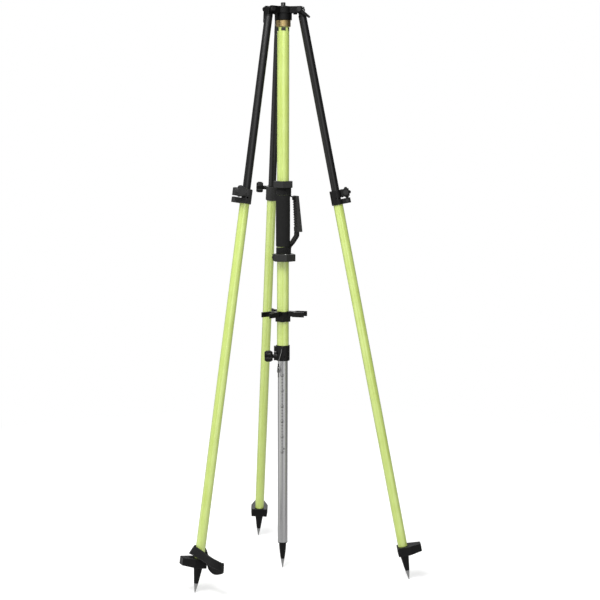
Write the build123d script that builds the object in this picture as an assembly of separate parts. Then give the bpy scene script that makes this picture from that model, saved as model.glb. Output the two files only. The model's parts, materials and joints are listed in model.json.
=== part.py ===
from build123d import *
import math
import os

# Fixed-height antenna tripod. Millimetres, Z up, origin at the centre pole's tip on the ground mark.
# Legs stand at three azimuths about the pole: one behind, one to each front side.

# Stance
seat_height = 1800.0            # antenna seat above the ground mark
hinge_radius = 58.0             # hinge pins from the pole axis
hinge_drop = 12.0               # hinge pins below the antenna seat
back_azimuth = 90.0
left_azimuth = 210.0
right_azimuth = 330.0
back_foot_radius = 377.0        # spike tips from the pole axis
left_foot_radius = 370.0
right_foot_radius = 420.0
tip_round = 1.2                 # rounding of every steel point

# Clearances
running_fit = 0.06              # radial, between pieces that slide or turn on each other
seat_fit = 0.02                 # radial, between pieces fixed in each other
body_gap = 0.3                  # between faces that pass each other

# Head
arm_reach = 47.0                # solid part of each arm, from the pole axis
tang_slot = 18.0                # room for a leg's tang between two cheeks
cheek_thickness = 6.0
cheek_height = 20.0             # arms and cheeks, centred on the hinge pins
cheek_reach = 6.5               # cheeks beyond the hinge pin
cheek_round = 3.0
plate_thickness = 6.0
plate_chamfer = 0.8
hub_radius = 30.0
collar_radius = 27.0            # skirt below the hub
collar_height = 21.0
bushing_flange_radius = 23.2
bushing_flange_height = 21.0
bushing_chamfer = 1.5
bushing_sleeve_radius = 16.0
spindle_radius = 12.7
spindle_plug_length = 45.0
stud_radius = 7.94              # antenna thread, 5/8 in
stud_height = 11.0
stud_chamfer = 1.2
stud_flange_radius = 15.0
stud_shank_length = 20.0
arm_bolt_radius = 3.0
arm_bolt_circle = 39.0
arm_bolt_head_radius = 6.5
arm_bolt_head_height = 4.5
arm_bolt_bite = 4.0             # depth in the plate
hinge_bolt_radius = 4.0
hinge_head_radius = 7.0
hinge_head_height = 5.0

spread_limit = 25.0             # degrees from upright, where a tang's heel meets its arm

# Hinge levers
lever_reach = 42.0
lever_hub_radius = 8.0
lever_hub_length = 7.0
lever_root_width = 11.0
lever_tip_width = 7.0
lever_thickness = 5.0
lever_dip_back = 80.0           # degrees below the horizon, outwards
lever_dip_left = 84.0
lever_dip_right = 38.0

# Centre pole
pole_radius = 19.05
pole_wall = 2.0
inner_radius = 15.875
inner_wall = 1.9
inner_above_clamp = 430.0       # inner tube held in the outer one at this height
guide_height = 16.0
guide_plug_length = 30.0
adapter_bottom = 31.0           # steel tip meets the black adapter
adapter_top = 88.0              # adapter meets the inner tube
adapter_top_radius = 11.8
adapter_bottom_radius = 6.5
adapter_bulge = 0.95            # taper's middle outside a straight cone
adapter_rings = 5               # turned cones that make up the taper
adapter_flange = 2.4            # rim as wide as the inner tube
adapter_plug_length = 32.0
tip_shank_radius = 3.0
tip_shank_length = 18.0

# Lower clamp, leg clip, vial bracket and handle, from the ground up
clamp_bottom = 684.5
clamp_grip_height = 29.5        # part that grips the inner tube
clamp_ring_height = 20.0        # part on the outer tube
clamp_radius = 22.0
clamp_chamfer = 1.0
clamp_lug_reach = 28.5          # block above the knob's boss
clamp_lug_width = 22.0
clamp_lug_height = 16.5
clamp_lug_round = 2.0
clamp_pad_face = 22.6           # flat seat of the lanyard's screw
clamp_pad_margin = 1.0
clamp_knob_azimuth = 168.0
boss_radius = 13.4
boss_reach = 29.0
pole_knob_radius = 18.2
pole_knob_length = 26.3
pole_knob_lobes = 6
knob_neck_radius = 6.5
pole_knob_neck = 3.2
knob_core_share = 0.7           # of a knob's radius, between its lobes
knob_end_share = 0.76           # of a knob's radius, at its rounded-off ends
knob_bevel_share = 0.26         # of a knob's length
clip_rise = 77.0                # clip above the clamp
clip_height = 32.0
clip_hex_radius = 27.6          # hub, to a corner
fork_height = 16.0
fork_rise = 1.0                 # fork above the top of the clip's hub
fork_wall = 5.0
fork_round = 2.0
fork_clearance = 1.0            # each side of a folded leg
fork_reach = 75.0
fork_neck_width = 22.0
bracket_rise = 162.0            # vial bracket above the clip
bracket_height = 22.5
bracket_hex_radius = 38.0       # to a corner
bracket_hex_turn = 30.0         # azimuth of one corner
bracket_offset = 14.0           # hexagon's centre in front of the pole axis
bracket_ring_wall = 6.0
vial_offset = 34.0              # vial's centre in front of the pole axis
vial_radius = 11.0
vial_depth = 14.0
vial_wall = 1.4
vial_lens_height = 3.0
band_height_low = 18.0
band_thickness = 3.0
band_low_gap = 4.2              # bare pole between lower band and sleeve
sleeve_length = 163.4
sleeve_thickness = 3.6
band_high_gap = 0.5
band_height_high = 22.0
collar_hex_gap = 0.5
collar_hex_radius = 34.5
collar_hex_height = 21.0
hex_chamfer = 1.2               # rims of the collar, the clip's hub and the bracket
hex_turn = 17.0                 # azimuth of one corner of the collar and the clip's hub

# Carry handle, in the plane through the pole axis at its azimuth
handle_azimuth = 10.0
grip_drop = 3.0                 # grip's top below the sleeve's top
grip_length = 115.0
grip_width = 26.0
grip_top_inner = 38.0           # distances from the pole axis
grip_top_outer = 49.0
grip_bottom_inner = 43.5
grip_bottom_outer = 62.0
grip_round = 2.4
groove_count = 11
groove_radius = 2.7
groove_depth = 2.4
groove_pitch = 8.0
groove_start = 17.0             # first finger groove below the grip's top
webbing_leave = 0.35            # where the webbing leaves the grip, from its inner to its outer edge
webbing_tail = 5.0              # straight parts beside the bands and the grip
webbing_bend = 4.0
webbing_width = 28.0
webbing_thickness = 2.6

# Telescoping legs: lengths along the leg from the spike's tip, or from the hinge pin
tang_round = 9.0
tang_shoulder = 18.5            # shoulder below the hinge pin
tang_collar = 6.0
tang_plug_length = 40.0
upper_radius = 12.5
upper_wall = 1.6
upper_end = 860.0               # lower end of the upper tube, from the hinge pin
lower_radius = 15.0
lower_wall = 1.5
leg_guide_height = 12.0
leg_guide_plug = 20.0
back_lower_turn = -13.0         # lower legs, turned on their own axes
left_lower_turn = -23.0
right_lower_turn = 17.0
leg_clamp_top = 1253.5          # from the tip
leg_ring_high = 24.0            # ring that grips the upper tube
leg_slit = 5.0
leg_ring_low = 16.5             # ring fixed to the lower tube
leg_clamp_radius = 19.5
leg_clamp_chamfer = 0.8
ear_reach = 41.0
ear_width = 24.0
ear_split = 4.0
ear_round = 3.0
ear_bolt_offset = 30.0
spine_edge = 4.0                # slit stops this far behind the leg axis
leg_knob_radius = 18.5
leg_knob_length = 22.0
leg_knob_neck = 17.5
leg_knob_lobes = 5
knob_bolt_radius = 4.0
knob_bite = 14.0                # bolt inside the knob
bolt_head_radius = 8.0
bolt_head_height = 3.6
pinch_radius = 3.0
pinch_head_radius = 5.0
pinch_head_height = 4.0
washer_gap = 0.3

# Feet
step_top = 108.0                # from the tip
step_height = 28.0
step_inner = 19.0               # plate behind the leg axis
step_shoulder = 20.0            # widest place, in front of the leg axis
step_reach = 57.0
step_inner_width = 53.0
step_width = 58.0
step_nose_width = 33.0
step_nose_lift = 4.5            # underside of the nose above the rest of the plate
step_round = 2.0
step_chamfer = 1.0
socket_depth = 20.0
spike_top_radius = 14.0
spike_bottom = 28.5
spike_bottom_radius = 6.9

# Leg strap, a slack loop round the left leg above its foot
strap_width = 29.0
strap_thickness = 3.0
strap_inner_radius = 20.5
strap_reach = 84.0              # centre of the far bend from the leg axis
strap_droop = 12.0              # degrees, towards the far bend
strap_sag = 10.0                # degrees, towards the pole
strap_lift = 3.7                # above the foot at the leg axis

# Lock pin on its lanyard: route as distance from the pole axis, azimuth, height above the clamp's bottom
lanyard_radius = 0.9
lanyard_route = [
    (24.0, -112.0, 39.0),
    (25.2, -113.5, 33.0),
    (26.0, -118.0, 24.0),
    (25.9, -124.0, 14.5),
    (25.6, -131.0, 5.5),
    (25.2, -137.0, -2.0),
    (25.2, -137.0, -8.5),
]
ferrule_radius = 2.3
ferrule_length = 9.0
ring_radius = 5.5
ring_wire_radius = 0.8
eye_radius = 1.5                # holes that the ring passes through
eye_margin = 1.2
pin_radius = 2.2
pin_length = 16.0
pin_head_radius = 4.4
pin_head_length = 8.0
pin_lug_thickness = 3.6
pin_lug_width = 6.4
pin_heights = [1500.0, 1800.0, 2000.0]  # antenna heights that the pin locks
pin_level = 14.0                # pin hole above the clamp's bottom

# Button screws that hold the collar, the clip, the vial bracket and the clamp to the outer pole
screw_radius = 2.0
screw_head_radius = 3.6
screw_head_height = 2.4
screw_key_radius = 1.6
collar_screw_azimuth = 47.0
clip_screw_azimuth = 47.0
clip_screw_level = 7.0          # above the clip's bottom

# Levels that follow from the sizes above
hinge_z = seat_height - hinge_drop
plate_top = hinge_z + cheek_height / 2
plate_bottom = plate_top - plate_thickness
hub_bottom = hinge_z - cheek_height / 2
collar_bottom = hub_bottom - collar_height
pole_bore = pole_radius - pole_wall
bushing_bottom = collar_bottom - bushing_flange_height
pole_top = bushing_bottom - body_gap
arm_width = tang_slot + 2 * cheek_thickness
stud_flange_bottom = plate_top + body_gap
inner_bore = inner_radius - inner_wall
upper_bore = upper_radius - upper_wall
lower_bore = lower_radius - lower_wall
clamp_step = clamp_bottom + clamp_grip_height
clamp_top = clamp_step + clamp_ring_height
clip_bottom = clamp_top + clip_rise
clip_top = clip_bottom + clip_height
bracket_bottom = clip_top + bracket_rise
bracket_top = bracket_bottom + bracket_height
band_low_bottom = bracket_top + body_gap
band_low_top = band_low_bottom + band_height_low
sleeve_bottom = band_low_top + band_low_gap
sleeve_top = sleeve_bottom + sleeve_length
band_high_bottom = sleeve_top + band_high_gap
band_high_top = band_high_bottom + band_height_high
collar_hex_bottom = band_high_top + collar_hex_gap
collar_hex_top = collar_hex_bottom + collar_hex_height
boss_z = clamp_bottom + boss_radius
tang_heel = (hinge_radius - arm_reach - body_gap) / math.cos(math.radians(45 - spread_limit))
grip_top = sleeve_top - grip_drop
grip_bottom = grip_top - grip_length
pin_z = clamp_bottom + pin_level
flat = math.cos(math.pi / 6)    # hexagon's flat against its corner, from the centre
azimuths = {"back": back_azimuth, "left": left_azimuth, "right": right_azimuth}
foot_radii = {"back": back_foot_radius, "left": left_foot_radius, "right": right_foot_radius}
lower_turns = {"back": back_lower_turn, "left": left_lower_turn, "right": right_lower_turn}
lever_dips = {"back": lever_dip_back, "left": lever_dip_left, "right": lever_dip_right}

os.makedirs("parts", exist_ok=True)


def save(name, *solids):
    shape = solids[0] if len(solids) == 1 else Compound(children=list(solids))
    export_step(shape, f"parts/{name}.step")


def post(radius, low, high):
    """Upright cylinder between two levels."""
    return Pos(0, 0, low) * Cylinder(radius, high - low, align=(Align.CENTER, Align.CENTER, Align.MIN))


def tube(radius, bore, low, high):
    return post(radius, low, high) - post(bore, low, high)


def rod(radius, start, end):
    """Cylinder along Y between two places."""
    return Rot(-90, 0, 0) * post(radius, start, end)


def spoke(radius, start, end):
    """Cylinder along X between two places."""
    return Rot(0, 90, 0) * post(radius, start, end)


def prism(outline, low, high):
    return Pos(0, 0, low) * extrude(outline, amount=high - low)


def side_prism(outline, half_width):
    """Outline drawn in X and Z, extruded to both sides along Y."""
    return extrude(Plane.XZ * outline, amount=half_width, both=True)


def hexagon(corner_radius, turn=0.0):
    return Rot(0, 0, turn) * RegularPolygon(corner_radius, 6)


def steel_point(top_radius, top):
    """Cone on a rounded tip, whose round is centred at the origin."""
    slant = math.hypot(top_radius, top)
    tangent = math.atan2(top, top_radius) - math.acos(tip_round / slant)
    touch = (tip_round * math.cos(tangent), tip_round * math.sin(tangent))
    half = (tangent - math.pi / 2) / 2
    middle = (tip_round * math.cos(half), tip_round * math.sin(half))
    side = Polyline((0, top), (top_radius, top), touch)
    nose = ThreePointArc(touch, middle, (0, -tip_round))
    axis = Line((0, -tip_round), (0, top))
    return revolve(Plane.XZ * make_face([*side.edges(), nose, axis]), Axis.Z)


def star_knob(radius, length, neck, lobes):
    """Lobed knob along Z, bevelled like a barrel, with its neck at the origin."""
    core = radius * knob_core_share
    lobe = radius - core
    outline = Circle(core)
    for i in range(lobes):
        outline += Rot(0, 0, i * 360 / lobes) * Pos(core, 0) * Circle(lobe)
    end = radius * knob_end_share
    bevel = length * knob_bevel_share
    barrel = Polyline(
        (0, neck),
        (end, neck),
        (radius, neck + bevel),
        (radius, neck + length - bevel),
        (end, neck + length),
        (0, neck + length),
        close=True,
    )
    body = prism(outline, neck, neck + length) & revolve(Plane.XZ * make_face(barrel), Axis.Z)
    return body + post(knob_neck_radius, 0, neck + length / 2)


def chamfer_ends(solid, size):
    """Chamfer the outlines of a prism's two flat ends."""
    ends = solid.faces().sort_by(Axis.Z)
    return chamfer(ends[0].edges() + ends[-1].edges(), size)


def ring_screw(azimuth, level, face):
    """Button screw through a collar's flat face, down to the outer pole."""
    top = face + screw_head_height
    screw = spoke(screw_head_radius, face, top) + spoke(screw_radius, pole_radius + body_gap, face)
    screw -= Rot(0, 90, 0) * prism(hexagon(screw_key_radius), top - screw_head_height / 2, top)
    return Rot(0, 0, azimuth) * Pos(0, 0, level) * screw


def ring_screw_hole(azimuth, level, face):
    return Rot(0, 0, azimuth) * Pos(0, 0, level) * spoke(screw_radius + seat_fit, 0, face)


def screw_seats():
    """Azimuth, level and face of each button screw, by the collar that it holds."""
    lanyard_level = clamp_bottom + lanyard_route[0][2] + body_gap + screw_head_radius
    return {
        "collar": (collar_screw_azimuth, collar_hex_bottom + collar_hex_height / 2, collar_hex_radius * flat),
        "clip": (clip_screw_azimuth, clip_bottom + clip_screw_level, clip_hex_radius * flat),
        "bracket": (180.0, bracket_bottom + bracket_height / 2, bracket_hex_radius * flat),
        "clamp": (lanyard_route[0][1], lanyard_level, clamp_pad_face),
    }


# Head: a three-armed casting with a clevis at the end of each arm

def three_arms(reach, radius):
    outline = Circle(radius)
    for azimuth in azimuths.values():
        outline += Rot(0, 0, azimuth) * Pos(reach / 2, 0) * Rectangle(reach, arm_width)
    return outline


def head_plate():
    plate = prism(three_arms(arm_reach - body_gap, hub_radius), plate_bottom, plate_top)
    plate = chamfer_ends(plate, plate_chamfer)
    plate -= post(spindle_radius + body_gap, plate_bottom, plate_top)
    for azimuth in azimuths.values():
        hole = post(arm_bolt_radius + seat_fit, plate_bottom, plate_bottom + arm_bolt_bite + body_gap)
        plate -= Rot(0, 0, azimuth) * Pos(arm_bolt_circle, 0, 0) * hole
    return plate


def head_hub():
    hub = prism(three_arms(arm_reach, hub_radius), hub_bottom, plate_bottom)
    hub += post(collar_radius, collar_bottom, hub_bottom)
    length = hinge_radius + cheek_reach - arm_reach
    outline = Pos(arm_reach + length / 2, hinge_z) * Rectangle(length, cheek_height)
    outline = fillet(outline.vertices().sort_by(Axis.X)[-2:], cheek_round)
    clevis = side_prism(outline, arm_width / 2)
    slot_length = 2 * hinge_radius
    slot = Box(slot_length, tang_slot, 2 * cheek_height)
    clevis -= Pos(arm_reach + slot_length / 2, 0, hinge_z) * slot
    clevis -= Pos(hinge_radius, 0, hinge_z) * rod(hinge_bolt_radius + seat_fit, -arm_width, arm_width)
    bolt_hole = post(arm_bolt_radius + seat_fit, hub_bottom, plate_bottom)
    for azimuth in azimuths.values():
        hub += Rot(0, 0, azimuth) * clevis
        hub -= Rot(0, 0, azimuth) * Pos(arm_bolt_circle, 0, 0) * bolt_hole
    return hub - post(bushing_sleeve_radius + seat_fit, collar_bottom, plate_bottom)


def brass_bushing():
    flange = post(bushing_flange_radius, bushing_bottom, collar_bottom)
    rims = flange.edges().filter_by(GeomType.CIRCLE)
    bushing = chamfer(rims, bushing_chamfer)
    bushing += post(bushing_sleeve_radius, collar_bottom, plate_bottom - body_gap)
    return bushing - post(spindle_radius + running_fit, bushing_bottom, plate_bottom)


def arm_bolts():
    head = prism(hexagon(arm_bolt_head_radius), hub_bottom - arm_bolt_head_height, hub_bottom)
    bolt = head + post(arm_bolt_radius, hub_bottom, plate_bottom + arm_bolt_bite)
    return [Rot(0, 0, azimuth) * Pos(arm_bolt_circle, 0, 0) * bolt for azimuth in azimuths.values()]


def hinge_bolts():
    side = arm_width / 2
    lever_end = side + body_gap + lever_hub_length + body_gap
    bolt = rod(hinge_bolt_radius, -lever_end, side)
    bolt += rod(hinge_head_radius, side, side + hinge_head_height)
    bolt += rod(hinge_head_radius, -lever_end - hinge_head_height / 2, -lever_end)
    bolt = Pos(hinge_radius, 0, hinge_z) * bolt
    return [Rot(0, 0, azimuth) * bolt for azimuth in azimuths.values()]


def hinge_lever(leg):
    near = arm_width / 2 + body_gap
    far = near + lever_hub_length
    middle = (near + far) / 2
    arm = Polyline(
        (0, lever_root_width / 2),
        (lever_reach - lever_tip_width / 2, lever_tip_width / 2),
        (lever_reach - lever_tip_width / 2, -lever_tip_width / 2),
        (0, -lever_root_width / 2),
        close=True,
    )
    outline = make_face(arm) + Pos(lever_reach - lever_tip_width / 2, 0) * Circle(lever_tip_width / 2)
    lever = Pos(0, -middle, 0) * side_prism(outline, lever_thickness / 2)
    lever += rod(lever_hub_radius, -far, -near)
    lever -= rod(hinge_bolt_radius + running_fit, -far, -near)
    turned = Rot(0, lever_dips[leg], 0) * lever
    return Rot(0, 0, azimuths[leg]) * Pos(hinge_radius, 0, hinge_z) * turned


# Centre pole

def pole_tube():
    return tube(pole_radius, pole_bore, clamp_step, pole_top)


def top_spindle():
    spindle = post(pole_bore - seat_fit, pole_top - spindle_plug_length, pole_top)
    spindle += post(spindle_radius, pole_top, stud_flange_bottom)
    return spindle - post(stud_radius, stud_flange_bottom - stud_shank_length - body_gap, stud_flange_bottom)


def antenna_stud():
    thread = post(stud_radius, seat_height, seat_height + stud_height)
    thread = chamfer(thread.edges().sort_by(Axis.Z)[-1], stud_chamfer)
    stud = thread + post(stud_flange_radius, stud_flange_bottom, seat_height)
    shank = post(stud_radius - seat_fit, stud_flange_bottom - stud_shank_length, stud_flange_bottom)
    return stud + shank


def inner_pole():
    inner_top = clamp_step + inner_above_clamp
    pole = tube(inner_radius, inner_bore, adapter_top, inner_top)
    for height in pin_heights:
        pole -= Pos(0, 0, pin_z + height - seat_height) * rod(pin_radius + running_fit, -2 * inner_radius, 0)
    return pole


def inner_guide():
    low = clamp_step + inner_above_clamp
    guide = post(pole_bore - running_fit, low, low + guide_height)
    guide += post(inner_bore - seat_fit, low - guide_plug_length, low)
    return guide - post(inner_bore / 2, low - guide_plug_length, low + guide_height)


def point_adapter():
    rim = adapter_top - adapter_flange
    low = (adapter_bottom_radius, adapter_bottom)
    high = (adapter_top_radius, rim)
    middle = ((low[0] + high[0]) / 2 + adapter_bulge, (low[1] + high[1]) / 2)
    bulge = ThreePointArc(low, middle, high)
    side = Polyline(
        *[bulge @ (i / adapter_rings) for i in range(adapter_rings + 1)],
        (inner_radius, rim),
        (inner_radius, adapter_top),
        (inner_bore - seat_fit, adapter_top),
        (inner_bore - seat_fit, adapter_top + adapter_plug_length),
        (0, adapter_top + adapter_plug_length),
        (0, adapter_bottom),
        close=True,
    )
    adapter = revolve(Plane.XZ * make_face(side), Axis.Z)
    hole_top = adapter_bottom + tip_shank_length + body_gap
    return adapter - post(tip_shank_radius + seat_fit, adapter_bottom, hole_top)


def point_tip():
    tip = Pos(0, 0, tip_round) * steel_point(adapter_bottom_radius, adapter_bottom - tip_round)
    return tip + post(tip_shank_radius, adapter_bottom, adapter_bottom + tip_shank_length)


def pole_clamp():
    body = chamfer_ends(post(clamp_radius, clamp_bottom, clamp_top), clamp_chamfer)
    boss_place = Rot(0, 0, clamp_knob_azimuth) * Pos(0, 0, boss_z)
    body += boss_place * spoke(boss_radius, 0, boss_reach)
    lug = Pos(clamp_lug_reach / 2, 0) * Rectangle(clamp_lug_reach, clamp_lug_width)
    lug = fillet(lug.vertices().sort_by(Axis.X)[-2:], clamp_lug_round)
    body += Rot(0, 0, clamp_knob_azimuth) * prism(lug, clamp_step, clamp_step + clamp_lug_height)
    pad_azimuth, pad_level, pad_face = screw_seats()["clamp"]
    pad_side = 2 * (screw_head_radius + clamp_pad_margin)
    body += Rot(0, 0, pad_azimuth) * Pos(pad_face / 2, 0, pad_level) * Box(pad_face, pad_side, pad_side)
    body -= boss_place * spoke(knob_bolt_radius + running_fit, 0, boss_reach)
    body -= post(inner_radius + running_fit, clamp_bottom, clamp_step)
    body -= post(pole_radius + seat_fit, clamp_step, clamp_top)
    body -= Pos(0, 0, pin_z) * rod(pin_radius + running_fit, -2 * clamp_radius, 0)
    return body - ring_screw_hole(*screw_seats()["clamp"])


def pole_knob():
    knob = star_knob(pole_knob_radius, pole_knob_length, pole_knob_neck, pole_knob_lobes)
    knob += post(knob_bolt_radius, inner_radius - boss_reach, pole_knob_neck)
    turned = Rot(0, 90, 0) * knob
    return Rot(0, 0, clamp_knob_azimuth) * Pos(boss_reach + body_gap, 0, boss_z) * turned


def leg_clip():
    clip = chamfer_ends(prism(hexagon(clip_hex_radius, hex_turn), clip_bottom, clip_top), hex_chamfer)
    fork_top = clip_top + fork_rise
    seat = lower_radius + fork_clearance
    width = 2 * (seat + fork_wall)
    inner = hinge_radius - seat - fork_wall
    outline = Pos((inner + fork_reach) / 2, 0) * Rectangle(fork_reach - inner, width)
    outline -= Pos(hinge_radius, 0) * Circle(seat)
    outline -= Pos(hinge_radius + fork_reach / 2, 0) * Rectangle(fork_reach, 2 * seat)
    outline = fillet(outline.vertices().sort_by(Axis.X)[-4:], fork_round)
    outline += Pos((inner + fork_wall) / 2, 0) * Rectangle(inner + fork_wall, fork_neck_width)
    fork = prism(outline, fork_top - fork_height, fork_top)
    for azimuth in azimuths.values():
        clip += Rot(0, 0, azimuth) * fork
    clip -= post(pole_radius + seat_fit, clip_bottom, fork_top)
    return clip - ring_screw_hole(*screw_seats()["clip"])


def vial_bracket():
    outline = Pos(0, -bracket_offset) * hexagon(bracket_hex_radius, bracket_hex_turn)
    block = chamfer_ends(prism(outline, bracket_bottom, bracket_top), hex_chamfer)
    bracket = block + post(pole_radius + bracket_ring_wall, bracket_bottom, bracket_top)
    bracket -= post(pole_radius + seat_fit, bracket_bottom, bracket_top)
    bracket -= Pos(0, -vial_offset, 0) * post(vial_radius, bracket_top - vial_depth, bracket_top)
    return bracket - ring_screw_hole(*screw_seats()["bracket"])


def vial_cup():
    radius = vial_radius - seat_fit
    cup = tube(radius, radius - vial_wall, bracket_top - vial_depth, bracket_top)
    cup += post(radius, bracket_top - vial_depth, bracket_top - vial_depth + vial_wall)
    return Pos(0, -vial_offset, 0) * cup


def vial_glass():
    radius = vial_radius - vial_wall - 2 * seat_fit
    low = bracket_top - vial_depth + vial_wall
    glass = post(radius, low, bracket_top - vial_lens_height)
    return Pos(0, -vial_offset, 0) * glass


def foam_sleeve():
    return tube(pole_radius + sleeve_thickness, pole_radius + seat_fit, sleeve_bottom, sleeve_top)


def handle_bands():
    low = tube(pole_radius + band_thickness, pole_radius + seat_fit, band_low_bottom, band_low_top)
    high = tube(pole_radius + band_thickness, pole_radius + seat_fit, band_high_bottom, band_high_top)
    return [low, high]


def carry_grip():
    outline = Polyline(
        (grip_top_inner, grip_top),
        (grip_top_outer, grip_top),
        (grip_bottom_outer, grip_bottom),
        (grip_bottom_inner, grip_bottom),
        close=True,
    )
    grip = side_prism(make_face(outline), grip_width / 2)
    grip = fillet(grip.edges().filter_by(Axis.Y), grip_round)
    groove = rod(groove_radius, -grip_width, grip_width)
    for i in range(groove_count):
        drop = groove_start + i * groove_pitch
        inner = grip_top_inner + (grip_bottom_inner - grip_top_inner) * drop / grip_length
        grip -= Pos(inner + groove_depth - groove_radius, 0, grip_top - drop) * groove
    return Rot(0, 0, handle_azimuth) * grip


def handle_webbing():
    edge = pole_radius + max(band_thickness, sleeve_thickness) + body_gap + webbing_thickness / 2
    high_leave = grip_top_inner + webbing_leave * (grip_top_outer - grip_top_inner)
    low_leave = grip_bottom_inner + webbing_leave * (grip_bottom_outer - grip_bottom_inner)
    high = [
        (edge, band_high_top),
        (edge, band_high_top - webbing_tail),
        (high_leave, grip_top + webbing_tail),
        (high_leave, grip_top + body_gap),
    ]
    low = [
        (edge, band_low_bottom),
        (edge, sleeve_bottom + webbing_tail),
        (low_leave, grip_bottom - webbing_tail),
        (low_leave, grip_bottom - body_gap),
    ]
    strips = []
    for points in (high, low):
        route = FilletPolyline(*points, radius=webbing_bend)
        strip = side_prism(trace(route, webbing_thickness), webbing_width / 2)
        strips.append(Rot(0, 0, handle_azimuth) * strip)
    return strips


def hex_collar():
    collar = prism(hexagon(collar_hex_radius, hex_turn), collar_hex_bottom, collar_hex_top)
    collar = chamfer_ends(collar, hex_chamfer)
    collar -= post(pole_radius + seat_fit, collar_hex_bottom, collar_hex_top)
    return collar - ring_screw_hole(*screw_seats()["collar"])


# Lock pin hanging on its lanyard

def lanyard_points():
    points = []
    for radius, azimuth, height in lanyard_route:
        angle = math.radians(azimuth)
        points.append(Vector(radius * math.cos(angle), radius * math.sin(angle), clamp_bottom + height))
    return points


def lanyard():
    points = lanyard_points()
    radii = []
    for before, here, after in zip(points, points[1:], points[2:]):
        turn = (here - before).get_angle(after - here)
        shorter = min((here - before).length, (after - here).length)
        radii.append(0.45 * shorter / math.tan(math.radians(turn) / 2))
    print("lanyard bend radii", [round(r, 1) for r in radii])
    route = FilletPolyline(*points, radius=radii)
    section = Plane(origin=route @ 0, z_dir=route % 0) * Circle(lanyard_radius)
    cord = sweep(section, path=route)
    share = cord.volume / (math.pi * lanyard_radius**2 * route.length)
    print("lanyard length", round(route.length, 1), "volume against section times length", round(share, 4))
    return cord


def hung(solid):
    """Place a piece drawn below the lanyard's lower end, facing the pole."""
    end = lanyard_points()[-1]
    return Pos(end.X, end.Y, end.Z) * Rot(0, 0, lanyard_route[-1][1]) * solid


def lanyard_ring():
    eye_z = eye_radius + eye_margin - ferrule_length
    ferrule = post(ferrule_radius, -ferrule_length, 0)
    ferrule -= Pos(0, 0, eye_z) * spoke(eye_radius, -ferrule_radius, ferrule_radius)
    ring = Pos(0, 0, eye_z - ring_radius) * Rot(90, 0, 0) * Torus(ring_radius, ring_wire_radius)
    return [hung(ferrule), hung(ring)]


def lock_pin():
    eye_z = eye_radius + eye_margin - ferrule_length - 2 * ring_radius
    head_top = eye_z - eye_radius - ring_wire_radius
    lug_top = eye_z + eye_radius + eye_margin
    lug_height = lug_top - head_top
    pin = Pos(0, 0, lug_top - lug_height / 2) * Box(pin_lug_thickness, pin_lug_width, lug_height)
    pin += post(pin_head_radius, head_top - pin_head_length, head_top)
    pin += post(pin_radius, head_top - pin_head_length - pin_length, head_top - pin_head_length)
    return hung(pin - Pos(0, 0, eye_z) * spoke(eye_radius, -pin_lug_thickness, pin_lug_thickness))


# Telescoping legs, drawn upright with the hinge pin at the origin, outwards along X

def leg_axis(leg):
    """Length from the hinge pin to the centre of the tip's round, and lean from upright."""
    run = foot_radii[leg] - hinge_radius
    rise = hinge_z - tip_round
    return math.hypot(run, rise), math.degrees(math.atan2(run, rise))


def on_leg(leg, solid):
    lean = leg_axis(leg)[1]
    return Rot(0, 0, azimuths[leg]) * Pos(hinge_radius, 0, hinge_z) * Rot(0, -lean, 0) * solid


def from_tip(leg, solid):
    """Place a piece of the lower leg that is drawn with the spike's tip at the origin."""
    return on_leg(leg, Pos(0, 0, -leg_axis(leg)[0]) * Rot(0, 0, lower_turns[leg]) * solid)


def leg_tang():
    heel = tang_heel / math.sqrt(2)
    outline = Circle(tang_round) + Pos(0, -tang_shoulder / 2) * Rectangle(2 * tang_round, tang_shoulder)
    outline += make_face(Polyline((-heel, heel), (0, tang_round), (-tang_round, 0), close=True))
    tang = side_prism(outline, tang_slot / 2 - body_gap)
    collar_end = tang_shoulder + tang_collar
    tang += post(upper_radius, -collar_end, -tang_shoulder)
    tang += post(upper_bore - seat_fit, -collar_end - tang_plug_length, -collar_end)
    return tang - rod(hinge_bolt_radius + running_fit, -tang_slot, tang_slot)


def upper_tube():
    return tube(upper_radius, upper_bore, -upper_end, -tang_shoulder - tang_collar)


def leg_guide():
    guide = post(lower_bore - running_fit, -upper_end - leg_guide_height, -upper_end)
    return guide + post(upper_bore - seat_fit, -upper_end, -upper_end + leg_guide_plug)


def lower_tube():
    bottom = step_top - socket_depth
    return tube(lower_radius, lower_bore, bottom, leg_clamp_top - leg_ring_high - leg_slit)


def leg_clamp():
    slit_top = leg_clamp_top - leg_ring_high
    slit_bottom = slit_top - leg_slit
    bottom = slit_bottom - leg_ring_low
    ears = Pos(ear_reach / 2, 0) * Rectangle(ear_reach, ear_width)
    ears = fillet(ears.vertices().sort_by(Axis.X)[-2:], ear_round)
    clamp = chamfer_ends(prism(Circle(leg_clamp_radius) + ears, bottom, leg_clamp_top), leg_clamp_chamfer)
    clamp -= post(upper_radius + running_fit, slit_bottom, leg_clamp_top)
    clamp -= post(lower_radius + seat_fit, bottom, slit_bottom)
    split = Box(2 * ear_reach, ear_split, leg_clamp_top)
    clamp -= Pos(ear_reach, 0, bottom + leg_clamp_top / 2) * split
    slit_length = 2 * ear_reach
    slit = Box(slit_length, 2 * leg_clamp_radius + ear_width, leg_slit)
    clamp -= Pos(slit_length / 2 - spine_edge, 0, (slit_top + slit_bottom) / 2) * slit
    high = slit_top + leg_ring_high / 2
    low = bottom + leg_ring_low / 2
    clamp -= Pos(ear_bolt_offset, 0, high) * rod(knob_bolt_radius + seat_fit, -ear_width, ear_width)
    return clamp - Pos(ear_bolt_offset, 0, low) * rod(pinch_radius + seat_fit, -ear_width, ear_width)


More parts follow.
